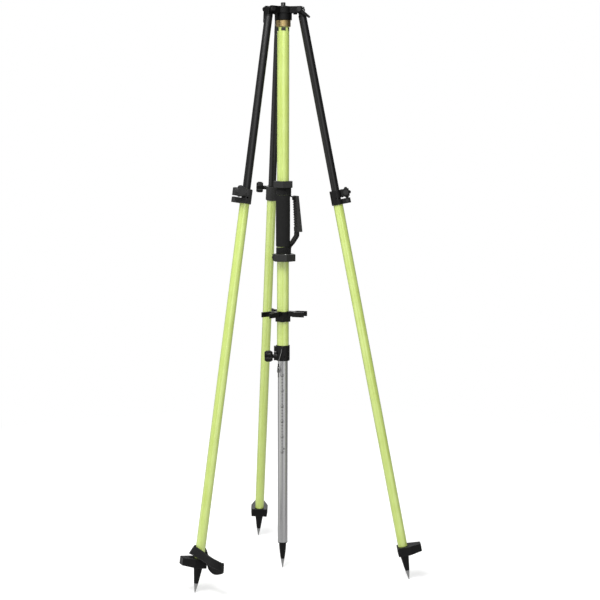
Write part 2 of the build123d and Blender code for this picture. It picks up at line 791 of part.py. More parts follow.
def clamp_bolts():
    slit_top = leg_clamp_top - leg_ring_high
    side = ear_width / 2
    high = slit_top + leg_ring_high / 2
    low = slit_top - leg_slit - leg_ring_low / 2
    bolt = rod(knob_bolt_radius, -side, side + washer_gap + knob_bite)
    bolt += rod(bolt_head_radius, -side - bolt_head_height, -side)
    pinch = rod(pinch_radius, -side, side) + rod(pinch_head_radius, -side - pinch_head_height, -side)
    pinch += rod(pinch_head_radius, side, side + pinch_head_height)
    return Pos(ear_bolt_offset, 0, high) * bolt, Pos(ear_bolt_offset, 0, low) * pinch


def clamp_knob():
    knob = star_knob(leg_knob_radius, leg_knob_length, leg_knob_neck, leg_knob_lobes)
    knob -= post(knob_bolt_radius + running_fit, 0, knob_bite + body_gap)
    high = leg_clamp_top - leg_ring_high / 2
    return Pos(ear_bolt_offset, ear_width / 2 + washer_gap, high) * Rot(-90, 0, 0) * knob


def foot_step():
    outline = Polyline(
        (-step_inner, step_inner_width / 2),
        (step_shoulder, step_width / 2),
        (step_reach, step_nose_width / 2),
        (step_reach, -step_nose_width / 2),
        (step_shoulder, -step_width / 2),
        (-step_inner, -step_inner_width / 2),
        close=True,
    )
    step_bottom = step_top - step_height
    plate = make_face(outline)
    foot = chamfer_ends(prism(fillet(plate.vertices(), step_round), step_bottom, step_top), step_chamfer)
    profile = Polyline(
        (-step_inner, step_bottom),
        (spike_top_radius, step_bottom),
        (step_reach, step_bottom + step_nose_lift),
        (step_reach, step_top),
        (-step_inner, step_top),
        close=True,
    )
    foot &= side_prism(make_face(profile), step_width)
    taper = Cone(spike_bottom_radius, spike_top_radius, step_bottom - spike_bottom)
    foot += Pos(0, 0, (step_bottom + spike_bottom) / 2) * taper
    foot -= post(lower_radius + seat_fit, step_top - socket_depth, step_top)
    return foot - post(tip_shank_radius + seat_fit, spike_bottom, spike_bottom + tip_shank_length + body_gap)


def spike_tip():
    return steel_point(spike_bottom_radius, spike_bottom) + post(
        tip_shank_radius, spike_bottom, spike_bottom + tip_shank_length
    )


def leg_strap():
    outline = SlotCenterToCenter(strap_reach, 2 * (strap_inner_radius + strap_thickness))
    outline -= SlotCenterToCenter(strap_reach, 2 * strap_inner_radius)
    loop = prism(Pos(0, strap_reach / 2) * Rot(0, 0, 90) * outline, 0, 2 * step_top)
    side = 4 * strap_reach
    level = Pos(0, 0, step_top + strap_lift) * Rot(-strap_droop, -strap_sag, 0)
    return loop & level * Box(side, side, strap_width, align=(Align.CENTER, Align.CENTER, Align.MIN))


def build_head():
    save("head_plate", head_plate())
    save("head_hub", head_hub())
    save("brass_bushing", brass_bushing())
    save("arm_bolts", *arm_bolts())
    save("hinge_bolts", *hinge_bolts())


def build_pole():
    save("pole_tube", pole_tube())
    save("top_spindle", top_spindle())
    save("antenna_stud", antenna_stud())
    save("inner_pole", inner_pole())
    save("inner_guide", inner_guide())
    save("point_adapter", point_adapter())
    save("point_tip", point_tip())
    save("pole_clamp", pole_clamp())
    save("pole_knob", pole_knob())
    save("leg_clip", leg_clip())
    save("vial_bracket", vial_bracket())
    save("vial_cup", vial_cup())
    save("vial_glass", vial_glass())
    save("foam_sleeve", foam_sleeve())
    save("handle_bands", *handle_bands())
    save("carry_grip", carry_grip())
    save("handle_webbing", *handle_webbing())
    save("hex_collar", hex_collar())
    save("ring_screws", *[ring_screw(*seat) for seat in screw_seats().values()])
    save("lanyard", lanyard())
    save("lanyard_ring", *lanyard_ring())
    save("lock_pin", lock_pin())


def build_leg(leg):
    save(f"{leg}_hinge_lever", hinge_lever(leg))
    save(f"{leg}_tang", on_leg(leg, leg_tang()))
    save(f"{leg}_upper_tube", on_leg(leg, upper_tube()))
    save(f"{leg}_guide", on_leg(leg, leg_guide()))
    save(f"{leg}_lower_tube", from_tip(leg, lower_tube()))
    save(f"{leg}_clamp", from_tip(leg, leg_clamp()))
    save(f"{leg}_clamp_bolts", *[from_tip(leg, bolt) for bolt in clamp_bolts()])
    save(f"{leg}_clamp_knob", from_tip(leg, clamp_knob()))
    save(f"{leg}_foot", from_tip(leg, foot_step()))
    save(f"{leg}_spike_tip", from_tip(leg, spike_tip()))


build_head()
build_pole()
for leg in azimuths:
    build_leg(leg)
save("leg_strap", from_tip("left", Rot(0, 0, -lower_turns["left"]) * leg_strap()))
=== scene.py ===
import json
import math

import bmesh
import bpy
from mathutils import Matrix, Vector, noise


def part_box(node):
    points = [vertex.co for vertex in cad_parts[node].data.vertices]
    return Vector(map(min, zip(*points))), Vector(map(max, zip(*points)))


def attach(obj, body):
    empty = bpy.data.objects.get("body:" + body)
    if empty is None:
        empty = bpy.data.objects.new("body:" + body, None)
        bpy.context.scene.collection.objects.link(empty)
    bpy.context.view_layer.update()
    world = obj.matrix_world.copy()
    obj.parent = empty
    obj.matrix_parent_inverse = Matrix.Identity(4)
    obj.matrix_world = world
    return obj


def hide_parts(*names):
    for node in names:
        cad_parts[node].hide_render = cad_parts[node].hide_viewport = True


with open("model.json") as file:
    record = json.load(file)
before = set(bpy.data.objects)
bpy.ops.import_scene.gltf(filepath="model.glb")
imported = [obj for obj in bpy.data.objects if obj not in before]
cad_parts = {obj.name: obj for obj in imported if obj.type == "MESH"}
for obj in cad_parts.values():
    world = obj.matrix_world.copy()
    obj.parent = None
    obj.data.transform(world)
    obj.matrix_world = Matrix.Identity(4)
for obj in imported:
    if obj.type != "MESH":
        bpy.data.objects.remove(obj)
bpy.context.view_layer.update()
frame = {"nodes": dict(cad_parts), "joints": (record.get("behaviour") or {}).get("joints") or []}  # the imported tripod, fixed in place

nodes = frame["nodes"]
joints = {joint["name"]: joint for joint in frame["joints"]}
legs = ("back", "left", "right")
mm = 0.001
studHeight = 11.0 * mm  # antenna stud above its seat
print("frame loaded,", len(nodes), "nodes")


def legAxis(leg):  # hinge pin, direction down the leg, and the turn that brings Z up along it
    hinge, down = Vector(joints[leg + "_leg_fold"]["pos_m"]), Vector(joints[leg + "_leg_slide"]["axis"])
    return hinge, down, (0, -math.acos(-down.z), math.atan2(down.y, down.x))


# Sums of sockets: an expression on wires adds its Math nodes

class Wire:
    def __init__(self, finish, socket):
        self.finish = finish
        self.socket = socket

    def math(self, operation, *others):
        return self.finish.add("ShaderNodeMath", {"operation": operation}, dict(enumerate((self, *others))))

    def __add__(self, other):
        return self.math("ADD", other)

    def __sub__(self, other):
        return self.math("SUBTRACT", other)

    def __rsub__(self, other):
        return self.finish.add("ShaderNodeMath", {"operation": "SUBTRACT"}, {0: other, 1: self})

    def __mul__(self, other):
        return self.math("MULTIPLY", other)

    def __truediv__(self, other):
        return self.math("DIVIDE", other)

    def __mod__(self, other):
        return self.math("FLOORED_MODULO", other)

    def __abs__(self):
        return self.math("ABSOLUTE")

    def __floor__(self):
        return self.math("FLOOR")

    __radd__, __rmul__ = __add__, __mul__


class Finish:
    def __init__(self, name, tree=None):
        if tree is None:
            self.material = bpy.data.materials.new(name)
            self.material.use_nodes = True
            tree = self.material.node_tree
        self.tree = tree
        self.tree.nodes.clear()

    def add(self, kind, settings=None, sockets=None, out=0):
        node = self.tree.nodes.new(kind)
        for key, value in (settings or {}).items():
            setattr(node, key, value)
        for key, value in (sockets or {}).items():
            if isinstance(value, Wire):
                self.tree.links.new(value.socket, node.inputs[key])
            else:
                node.inputs[key].default_value = value
        return Wire(self, node.outputs[out]) if node.outputs else None

    def place(self):
        return self.add("ShaderNodeTexCoord", None, None, "Object")

    def placeAlong(self, key):  # Z along that leg, zero at its hinge pin, or along the pole
        if key == "pole":
            return self.place()
        hinge, down, turn = legAxis(key)
        sockets = {"Vector": self.place(), "Location": hinge, "Rotation": turn}
        return self.add("ShaderNodeMapping", {"vector_type": "TEXTURE"}, sockets)

    def speckle(self, place, size, detail=2.0):
        return self.add("ShaderNodeTexNoise", None, {"Vector": place, "Scale": 1 / size, "Detail": detail})

    def streaks(self, place, across, along, detail=2.0):
        stretched = {0: place, 1: (across, across, along)}
        return self.speckle(self.add("ShaderNodeVectorMath", {"operation": "DIVIDE"}, stretched), 1.0, detail)

    def cells(self, place, size):
        return self.add("ShaderNodeTexVoronoi", None, {"Vector": place, "Scale": 1 / size}, "Distance")

    def dot(self, first, second):
        return self.add("ShaderNodeVectorMath", {"operation": "DOT_PRODUCT"}, {0: first, 1: second}, "Value")

    def between(self, value, low, high):  # 0 at low, 1 at high
        return self.add("ShaderNodeMapRange", None, {"Value": value, "From Min": low, "From Max": high})

    def tint(self, factor, first, second):
        return self.add("ShaderNodeMix", {"data_type": "RGBA"}, {0: factor, 6: first, 7: second}, 2)

    def tones(self, factor, look):
        return self.tint(factor, look["dark"], look["light"])

    def edges(self, radius):  # normal rounded over the edges, and a mask of the edges themselves
        rounded = self.add("ShaderNodeBevel", {"samples": 4}, {"Radius": radius})
        plain = self.add("ShaderNodeNewGeometry", None, None, "Normal")
        return rounded, self.between(1 - self.dot(rounded, plain), 0.03, 0.3)

    def relief(self, height, depth, normal=None):
        sockets = {"Height": height, "Distance": depth}
        if normal is not None:
            sockets["Normal"] = normal
        return self.add("ShaderNodeBump", None, sockets)

    def white(self, strength):
        return self.add("ShaderNodeEmission", None, {"Color": grey(1), "Strength": strength})

    def ray(self, kind):
        return self.add("ShaderNodeLightPath", None, None, "Is " + kind + " Ray")

    def mixed(self, factor, first, second):
        return self.add("ShaderNodeMixShader", None, {0: factor, 1: first, 2: second})

    def cover(self, sockets):
        shader = self.add("ShaderNodeBsdfPrincipled", None, sockets)
        self.add("ShaderNodeOutputMaterial", None, {"Surface": shader})
        return self.material


def grey(level):
    return (level, level, level, 1)


def addObject(name, data):
    made = bpy.data.objects.new(name, data)
    bpy.context.scene.collection.objects.link(made)
    return made


# Camera: the photograph's own viewpoint

cameraLook = {
    "place": (-1.011, -4.345, 1.415),
    "aim": 76.22, "tilt": 6.85, "roll": -0.15,  # degrees: azimuth, downwards, about the view
    "lens": 84.54, "sensor": 36,
    "farthest": 100,
}


def setCamera(look):
    camera = addObject("photoCamera", bpy.data.cameras.new("photoCamera"))
    camera.location = look["place"]
    turn = (90 - look["tilt"], look["roll"], look["aim"] - 90)
    camera.rotation_euler = [math.radians(angle) for angle in turn]
    camera.data.sensor_width = look["sensor"]
    camera.data.lens = look["lens"]
    camera.data.clip_end = look["farthest"]
    bpy.context.scene.camera = camera


setCamera(cameraLook)
print("camera set")


# Mesh helpers

def meshOf(name, bm):
    bmesh.ops.recalc_face_normals(bm, faces=bm.faces)
    mesh = bpy.data.meshes.new(name)
    bm.to_mesh(mesh)
    bm.free()
    return mesh


def paint(mesh, material):
    mesh.materials.clear()
    mesh.materials.append(material)


def addPiece(name, bm, material, body, replaced=(), crease=40):  # smooth up to the crease, in degrees
    mesh = meshOf(name, bm)
    mesh.polygons.foreach_set("use_smooth", [True] * len(mesh.polygons))
    mesh.set_sharp_from_angle(angle=math.radians(crease))
    paint(mesh, material)
    piece = addObject(name, mesh)
    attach(piece, body)
    if replaced:
        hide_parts(*replaced)
    return piece


def meshFrom(curve):  # mesh of a curve or text, which goes
    holder = addObject(curve.name, curve)
    mesh = bpy.data.meshes.new_from_object(holder)
    bpy.data.objects.remove(holder)
    bpy.data.curves.remove(curve)
    return mesh


def alongCurve(points):  # points read from an open NURBS line with these control points
    curve = bpy.data.curves.new("route", "CURVE")
    curve.dimensions = "3D"
    spline = curve.splines.new("NURBS")
    spline.points.add(len(points) - 1)
    for knot, point in zip(spline.points, points):
        knot.co = (*point, 1)
    spline.order_u = 3
    spline.use_endpoint_u = True
    spline.resolution_u = 16
    line = meshFrom(curve)
    found = [vertex.co.copy() for vertex in line.vertices]
    bpy.data.meshes.remove(line)
    return found


def softRoute(points, bend):  # for webbing: a corner with a point just before it and one just after it
    route = [points[0]]
    for before, corner, after in zip(points, points[1:], points[2:]):
        back, on = before - corner, after - corner
        route += [corner + back.normalized() * min(bend, back.length / 2), corner,
                  corner + on.normalized() * min(bend, on.length / 2)]
    return route + [points[-1]]


def lengthsTo(line):  # from the first point along the line to each point
    steps = [(after - before).length for before, after in zip(line, line[1:])]
    return [sum(steps[:i]) for i in range(len(line))]


def headings(line):
    return [(after - before).normalized() for before, after in zip(line[:1] + line, line[1:] + line[-1:])]


def carriedFrames(line):  # two directions square to the line, carried along it without twist
    frames = []
    side = headings(line)[0].orthogonal()
    for ahead in headings(line):
        side = (side - ahead * side.dot(ahead)).normalized()
        frames.append((side, ahead.cross(side)))
    return frames


def polar(radius, azimuth, height=0):
    angle = math.radians(azimuth)
    return Vector((radius * math.cos(angle), radius * math.sin(angle), height))


def spokes(count):  # cosine and sine of evenly spaced directions
    angles = [2 * math.pi * k / count for k in range(count)]
    return [(math.cos(angle), math.sin(angle)) for angle in angles]


def joinRings(bm, rings, capped=True):
    for low, high in zip(rings, rings[1:]):
        for k in range(len(low)):
            after = (k + 1) % len(low)
            bm.faces.new((low[k], low[after], high[after], high[k]))
    if capped:
        bm.faces.new(rings[0])
        bm.faces.new(rings[-1])


def tubeAlong(bm, line, radius, sides):
    rings = []
    for point, (right, up) in zip(line, carriedFrames(line)):
        rings.append([bm.verts.new(point + radius * (c * right + s * up)) for c, s in spokes(sides)])
    joinRings(bm, rings)


def lathe(bm, profile, sides, centre):  # profile of (radius, height), capped at both ends
    rings = []
    for radius, height in profile:
        ring = [(centre[0] + radius * c, centre[1] + radius * s, height) for c, s in spokes(sides)]
        rings.append([bm.verts.new(place) for place in ring])
    joinRings(bm, rings)


def roundCorner(centre, radius, start, end, steps=5):  # arc of (radius, height) points
    points = []
    for i in range(steps + 1):
        angle = math.radians(start + (end - start) * i / steps)
        points.append((centre[0] + radius * math.cos(angle), centre[1] + radius * math.sin(angle)))
    return points


# Finishes

fluoLook = {
    "light": (0.64, 0.78, 0.24, 1),
    "dark": (0.50, 0.63, 0.11, 1),
    "paleTint": (0.70, 0.79, 0.42, 1),
    "grime": (0.30, 0.38, 0.10, 1),
    # The glow is a painted glow: the tube emits in its own colour, which lifts its shaded side; the paint's
    # fluorescence is part of it.
    "glow": 0.07, "rough": 0.26,
    "coat": 0.8, "coatRough": 0.12, "coatIor": 2.0,
    "peel": 1.6 * mm, "patch": 60 * mm, "speck": 2.2 * mm,
    "streak": (3 * mm, 180 * mm), "scrape": (1.2 * mm, 40 * mm),  # across and along
}


def fluoCoat(key):
    finish = Finish("fluo_coat_" + key)
    place = finish.placeAlong(key)
    patch = finish.speckle(place, fluoLook["patch"], 3)
    streak = finish.streaks(place, *fluoLook["streak"], 4)
    peel = finish.speckle(place, fluoLook["peel"])
    paleTint = finish.between(finish.streaks(place, *fluoLook["scrape"], 3), 0.66, 0.78)
    speck = finish.between(finish.speckle(place, fluoLook["speck"], 3), 0.70, 0.78)
    tone = finish.between(patch * 0.4 + streak * 0.6, 0.3, 0.7)
    colour = finish.tones(tone, fluoLook)
    colour = finish.tint(paleTint * 0.4, colour, fluoLook["paleTint"])
    colour = finish.tint(speck * 0.35, colour, fluoLook["grime"])
    return finish.cover({
        "Base Color": colour,
        "Roughness": fluoLook["rough"] + 0.14 * streak - 0.06 * paleTint,
        "Normal": finish.relief(peel, 0.03 * mm),
        "Coat Weight": fluoLook["coat"],
        "Coat Roughness": fluoLook["coatRough"],
        "Coat IOR": fluoLook["coatIor"],
        # Painted glow in the tube's own colour, lifting its shaded side.
        "Emission Color": colour,
        "Emission Strength": fluoLook["glow"],
    })


tubeLook = {
    "dark": grey(0.003), "light": grey(0.007), "scuff": grey(0.03), "rough": 0.26, "gloss": 0.5,
    "brush": (0.5 * mm, 90 * mm), "cloud": 45 * mm, "scrape": (0.9 * mm, 30 * mm),
}


def blackTube(leg):
    finish = Finish("black_tube_" + leg)
    place = finish.placeAlong(leg)
    brushed = finish.streaks(place, *tubeLook["brush"], 3)
    cloud = finish.speckle(place, tubeLook["cloud"], 3)
    scuff = finish.between(finish.streaks(place, *tubeLook["scrape"], 4), 0.68, 0.82)
    colour = finish.tones(cloud * 0.6 + brushed * 0.4, tubeLook)
    colour = finish.tint(scuff * 0.4, colour, tubeLook["scuff"])
    return finish.cover({
        "Base Color": colour,
        "Roughness": tubeLook["rough"] + 0.10 * brushed,
        "Normal": finish.relief(brushed, 0.012 * mm),
        "Specular IOR Level": tubeLook["gloss"],
    })


castLook = {
    "dark": grey(0.002), "light": grey(0.005), "worn": grey(0.06), "rough": 0.30, "gloss": 0.22,
    "sand": 0.7 * mm, "cloud": 14 * mm, "edge": 1.2 * mm, "wear": 3 * mm,
}


def castBlack():
    finish = Finish("cast_black")
    place = finish.place()
    sand = finish.speckle(place, castLook["sand"], 3)
    cloud = finish.speckle(place, castLook["cloud"], 3)
    rounded, edge = finish.edges(castLook["edge"])
    worn = edge * finish.between(finish.speckle(place, castLook["wear"], 3), 0.42, 0.66)
    colour = finish.tones(cloud * 0.7 + sand * 0.3, castLook)
    return finish.cover({
        "Base Color": finish.tint(worn * 0.7, colour, castLook["worn"]),
        "Roughness": castLook["rough"] + 0.16 * sand - 0.08 * worn,
        "Normal": finish.relief(sand, 0.05 * mm, rounded),
        "Specular IOR Level": castLook["gloss"],
    })


# The pale tint on the edges of these blacks is a painted highlight along them, partly edge wear.
plasticLook = {"dark": grey(0.019), "light": grey(0.034), "paleTint": grey(0.08), "rough": 0.46, "gloss": 0.3}
# A darker black; on the right clamp and on the back and right knobs it stands as painted shade.
deepAndShadeLook = {"dark": grey(0.002), "light": grey(0.006), "paleTint": grey(0.05), "rough": 0.34, "gloss": 0.26}
mouldGrain = {"grain": 0.45 * mm, "flow": (6 * mm, 22 * mm), "edge": 1.0 * mm}


def mouldedBlack(name, look):
    finish = Finish(name)
    place = finish.place()
    grain = finish.speckle(place, mouldGrain["grain"])
    flow = finish.streaks(place, *mouldGrain["flow"], 3)
    rounded, edge = finish.edges(mouldGrain["edge"])
    colour = finish.tones(flow * 0.7 + grain * 0.3, look)
    return finish.cover({
        # Edges tinted paler: painted highlight along the edges, partly edge wear.
        "Base Color": finish.tint(edge * 0.45, colour, look["paleTint"]),
        "Roughness": look["rough"] + 0.14 * grain - 0.1 * edge,
        "Normal": finish.relief(grain, 0.03 * mm, rounded),
        "Specular IOR Level": look["gloss"],
    })


metalLook = {
    "turned_steel": {"dark": grey(0.34), "light": grey(0.52), "rough": 0.24},
    "dark_steel": {"dark": grey(0.10), "light": grey(0.24), "rough": 0.20},
    "turned_brass": {"dark": (0.40, 0.29, 0.12, 1), "light": (0.60, 0.46, 0.22, 1), "rough": 0.30},
    "vial_metal": {"dark": grey(0.45), "light": grey(0.6), "rough": 0.25},
}
metalGrain = {"ring": 0.25 * mm, "cloud": 5 * mm, "edge": 0.3 * mm}


def turnedMetal(name, look, key="pole"):
    finish = Finish(name)
    place = finish.placeAlong(key)
    rings = finish.streaks(place, 1, metalGrain["ring"])
    cloud = finish.speckle(place, metalGrain["cloud"], 4)
    rounded, edge = finish.edges(metalGrain["edge"])
    return finish.cover({
        "Base Color": finish.tones(cloud * 0.7 + rings * 0.3, look),
        "Metallic": 1.0,
        "Roughness": look["rough"] + 0.14 * cloud + 0.08 * rings - 0.06 * edge,
        "Normal": finish.relief(rings, 0.015 * mm, rounded),
    })


oxideLook = {
    "dark": grey(0.010), "light": grey(0.030), "worn": grey(0.16), "rough": 0.34, "metal": 0.35,
    "cloud": 2 * mm, "edge": 0.4 * mm,
}


def oxideBolts():
    finish = Finish("oxide_bolts")
    place = finish.place()
    cloud = finish.speckle(place, oxideLook["cloud"], 4)
    rounded, edge = finish.edges(oxideLook["edge"])
    colour = finish.tones(cloud, oxideLook)
    return finish.cover({
        "Base Color": finish.tint(edge * cloud * 0.6, colour, oxideLook["worn"]),
        "Metallic": oxideLook["metal"],
        "Roughness": oxideLook["rough"] + 0.2 * cloud,
        "Normal": finish.relief(cloud, 0.02 * mm, rounded),
    })


silverLook = {
    "dark": grey(0.50), "light": grey(0.62), "rough": 0.21,
    "drawn": (0.6 * mm, 160 * mm), "cloud": 40 * mm, "sheen": 0.25 * mm,
}


def silverTube():
    finish = Finish("silver_tube")
    place = finish.place()
    drawn = finish.streaks(place, *silverLook["drawn"], 4)
    cloud = finish.speckle(place, silverLook["cloud"], 3)
    sheen = finish.speckle(place, silverLook["sheen"])
    return finish.cover({
        "Base Color": finish.tones(drawn * 0.7 + cloud * 0.3, silverLook),
        "Metallic": 1.0,
        "Roughness": silverLook["rough"] + 0.10 * drawn + 0.05 * sheen,
        "Normal": finish.relief(drawn * 0.7 + sheen * 0.3, 0.012 * mm),
    })


foamLook = {
    "dark": grey(0.008), "light": grey(0.019), "rough": 0.78, "gloss": 0.2,
    "cell": 0.7 * mm, "cloud": 12 * mm,
}


def foamBlack():
    finish = Finish("foam_black")
    place = finish.place()
    cells = finish.cells(place, foamLook["cell"])
    cloud = finish.speckle(place, foamLook["cloud"], 4)
    return finish.cover({
        "Base Color": finish.tones(cloud * 0.6 + cells * 0.4, foamLook),
        "Roughness": foamLook["rough"] + 0.14 * cloud,
        "Normal": finish.relief(cells, 0.08 * mm),
        "Specular IOR Level": foamLook["gloss"],
    })


gripLook = {
    "dark": grey(0.013), "light": grey(0.024), "paleTint": grey(0.05), "rough": 0.52,
    "pebble": 0.9 * mm, "cloud": 10 * mm, "edge": 0.8 * mm,
}


def gripRubber():
    finish = Finish("grip_rubber")
    place = finish.place()
    pebble = finish.cells(place, gripLook["pebble"])
    cloud = finish.speckle(place, gripLook["cloud"], 3)
    rounded, edge = finish.edges(gripLook["edge"])
    colour = finish.tones(cloud, gripLook)
    return finish.cover({
        "Base Color": finish.tint(edge * 0.4, colour, gripLook["paleTint"]),
        "Roughness": gripLook["rough"] + 0.16 * cloud - 0.06 * edge,
        "Normal": finish.relief(pebble, 0.05 * mm, rounded),
    })


webLook = {
    "dark": grey(0.004), "light": grey(0.013), "rough": 0.74, "gloss": 0.25, "sheen": 0.06, "sheenRough": 0.45,
    "yarn": 1.3 * mm, "pick": 1.7 * mm, "fuzz": 0.35 * mm, "cloud": 18 * mm,
}


def wovenBlack():  # UV in metres: along the strip, then across it
    finish = Finish("woven_black")
    uv = finish.add("ShaderNodeUVMap", {"uv_map": "weave"})
    split = {"Vector": uv}
    along = finish.add("ShaderNodeSeparateXYZ", None, split, "X") / webLook["pick"]
    across = finish.add("ShaderNodeSeparateXYZ", None, split, "Y") / webLook["yarn"]
    over = (math.floor(along) + math.floor(across)) % 2
    warp = abs((across * math.pi).math("SINE"))
    weft = abs((along * math.pi).math("SINE"))
    height = over * warp + (1 - over) * weft * 0.8
    fuzz = finish.speckle(finish.place(), webLook["fuzz"], 3)
    cloud = finish.speckle(finish.place(), webLook["cloud"], 3)
    return finish.cover({
        "Base Color": finish.tones(height * 0.55 + fuzz * 0.25 + cloud * 0.2, webLook),
        "Roughness": webLook["rough"] + 0.16 * fuzz,
        "Normal": finish.relief(height + fuzz * 0.25, 0.22 * mm),
        "Specular IOR Level": webLook["gloss"],
        "Sheen Weight": webLook["sheen"],
        "Sheen Roughness": webLook["sheenRough"],
    })


smallLook = {  # grain: size and detail, span: grain from dark to light, rough: level and what the grain adds
    "sewing_thread": {
        "dark": grey(0.03), "light": grey(0.09), "span": (0, 1), "rough": (0.6, 0.2),
        "grain": (0.3 * mm, 2), "relief": 0.05 * mm,
    },
    "scale_ink": {
        "dark": grey(0.012), "light": grey(0.05), "span": (0.5, 0.75), "rough": (0.5, 0.2), "grain": (0.8 * mm, 3),
    },
    "vial_fluid": {
        "dark": (0.62, 0.80, 0.16, 1), "light": (0.74, 0.88, 0.26, 1), "span": (0, 1), "rough": (0.05, 0.05),
        "grain": (4 * mm, 2), "glass": {"Transmission Weight": 0.55, "IOR": 1.36},
    },
    "clear_lens": {
        "dark": (0.93, 0.97, 0.90, 1), "light": grey(1), "span": (0, 1), "rough": (0.02, 0.05),
        "grain": (5 * mm, 3), "glass": {"Transmission Weight": 1.0, "IOR": 1.49},
    },
}


def smallFinish(name, look):
    finish = Finish(name)
    grain = finish.speckle(finish.place(), *look["grain"])
    level, more = look["rough"]
    sockets = {
        "Base Color": finish.tones(finish.between(grain, *look["span"]), look),
        "Roughness": level + more * grain,
        **look.get("glass", {}),
    }
    if "relief" in look:
        sockets["Normal"] = finish.relief(grain, look["relief"])
    return finish.cover(sockets)


cast = castBlack()
moulded = mouldedBlack("moulded_black", plasticLook)
deepBlackAndShade = mouldedBlack("deep_black_and_shade", deepAndShadeLook)
woven = wovenBlack()
bolts = oxideBolts()
steel, darkSteel, brass, vialMetal = [turnedMetal(name, look) for name, look in metalLook.items()]
foam = foamBlack()
thread, ink, fluid, lens = [smallFinish(name, look) for name, look in smallLook.items()]
print("finishes made")


# Lock pin's lanyard: a stranded wire on the route of its solid

lanyardLook = {
    "diameter": 1.8 * mm, "length": 49.2 * mm,
    "strands": 6, "layLength": 9 * mm, "sides": 8,
    "crimp": 1.5 * mm, "crimpSides": 16,
    "crimpFrom": 2 * mm, "crimpTo": 8 * mm,  # distances from the wire's end
}
lanyardRoute = [  # distance from the pole axis, azimuth, height above the clamp's bottom
    (24.0 * mm, -112.0, 39.0 * mm),
    (25.2 * mm, -113.5, 33.0 * mm),
    (26.0 * mm, -118.0, 24.0 * mm),
    (25.9 * mm, -124.0, 14.5 * mm),
    (25.6 * mm, -131.0, 5.5 * mm),
    (25.2 * mm, -137.0, -2.0 * mm),
    (25.2 * mm, -137.0, -8.5 * mm),
]


def makeLanyard(look):
    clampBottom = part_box("pole_clamp")[0].z
    route = [polar(radius, azimuth, clampBottom + height) for radius, azimuth, height in lanyardRoute]
    line = alongCurve(route)
    strandRadius = look["diameter"] / 6  # a core and the strands round it
    bm = bmesh.new()
    tubeAlong(bm, line, strandRadius, look["sides"])
    for i in range(look["strands"]):
        strand = []
        for length, point, (right, up) in zip(lengthsTo(line), line, carriedFrames(line)):
            angle = 2 * math.pi * (i / look["strands"] + length / look["layLength"])
            strand.append(point + 2 * strandRadius * (math.cos(angle) * right + math.sin(angle) * up))
        tubeAlong(bm, strand, strandRadius, look["sides"])
    wire = addPiece("lanyard_wire", bm, steel, "pole", ("lanyard",))
    bm = bmesh.new()
    near = [point for point in line if look["crimpFrom"] < (point - line[-1]).length < look["crimpTo"]]
    tubeAlong(bm, near, look["crimp"], look["crimpSides"])
    crimp = addPiece("lanyard_crimp", bm, steel, "pole", (), 50)


makeLanyard(lanyardLook)
print("lanyard laid")


# Strips of webbing: a flat section with rounded edges, carried along a line

def onStrip(station, share, lift):  # place across the strip from edge -1 to edge 1, and its normal
    centre, across, outward, half, curl = station  # curl: 1 / radius that the strip is bent to across its width
    turn = share * half * curl
    side, drop = (math.sin(turn) / curl, (1 - math.cos(turn)) / curl) if curl else (share * half, 0)
    normal = outward * math.cos(turn) + across * math.sin(turn)
    return centre + across * side - outward * drop + normal * lift, normal


stripRims = (0.35, 0.85, 1, 1, 1, 1, 1, 0.85, 0.35)  # shares of the thickness, from edge to edge


def addStrip(bm, stations, thickness, closed=False):
    layer = bm.loops.layers.uv.get("weave") or bm.loops.layers.uv.new("weave")
    rows = len(stripRims) - 1
    section = [(-1 + 2 * k / rows, rim * thickness / 2) for k, rim in enumerate(stripRims)]
    section += [(share, -lift) for share, lift in reversed(section)]
    rings = []
    for station in stations:
        rings.append([bm.verts.new(onStrip(station, share, lift)[0]) for share, lift in section])
    centres = [station[0] for station in stations]
    if closed:
        rings.append(rings[0])
        centres.append(centres[0])
    lengths = lengthsTo(centres)
    for low, high, u, nextU, station in zip(rings, rings[1:], lengths, lengths[1:], stations):
        for k in range(len(section)):
            after = (k + 1) % len(section)
            face = bm.faces.new((low[k], low[after], high[after], high[k]))
            for loop, along, corner in zip(face.loops, (u, u, nextU, nextU), (k, after, after, k)):
                loop[layer].uv = (along, section[corner][0] * station[3])
    if not closed:
        for ring in (rings[0], rings[-1]):
            cap = bm.faces.new(ring)
            for loop in cap.loops:
                loop[layer].uv = (0, 0)
    return lengths[-1]


def addStitch(bm, start, end, outward, look):  # one raised stitch, both ends sunk in the cloth
    ahead = end - start
    side = ahead.cross(outward).normalized()
    radius, blunt = look["threadRadius"], look["blunt"]
    rings = []
    for i in range(look["steps"] + 1):
        share = i / look["steps"]
        swell = math.sin(math.pi * (blunt + (1 - 2 * blunt) * share))
        centre = start + ahead * share + outward * radius * (swell - look["sunk"])
        around = [c * side + s * outward for c, s in spokes(look["sides"])]
        rings.append([bm.verts.new(centre + radius * swell * away) for away in around])
    joinRings(bm, rings)


def addStitchRun(bm, points, outwards, look):  # stitches along a line of points on the cloth
    travelled = 0
    start = points[0]
    for point, before, outward in zip(points[1:], points, outwards[1:]):
        travelled += (point - before).length
        if travelled >= look["stitch"]:
            addStitch(bm, start, point, outward, look)
            travelled = -look["gap"]
        if travelled < 0:
            start = point


stitchLook = {
    "stitch": 3.0 * mm, "gap": 1.0 * mm, "threadRadius": 0.35 * mm,
    "blunt": 0.12, "sunk": 0.6, "steps": 6, "sides": 8,
}


# Carry handle: two bands round the pole, and webbing from each to the grip

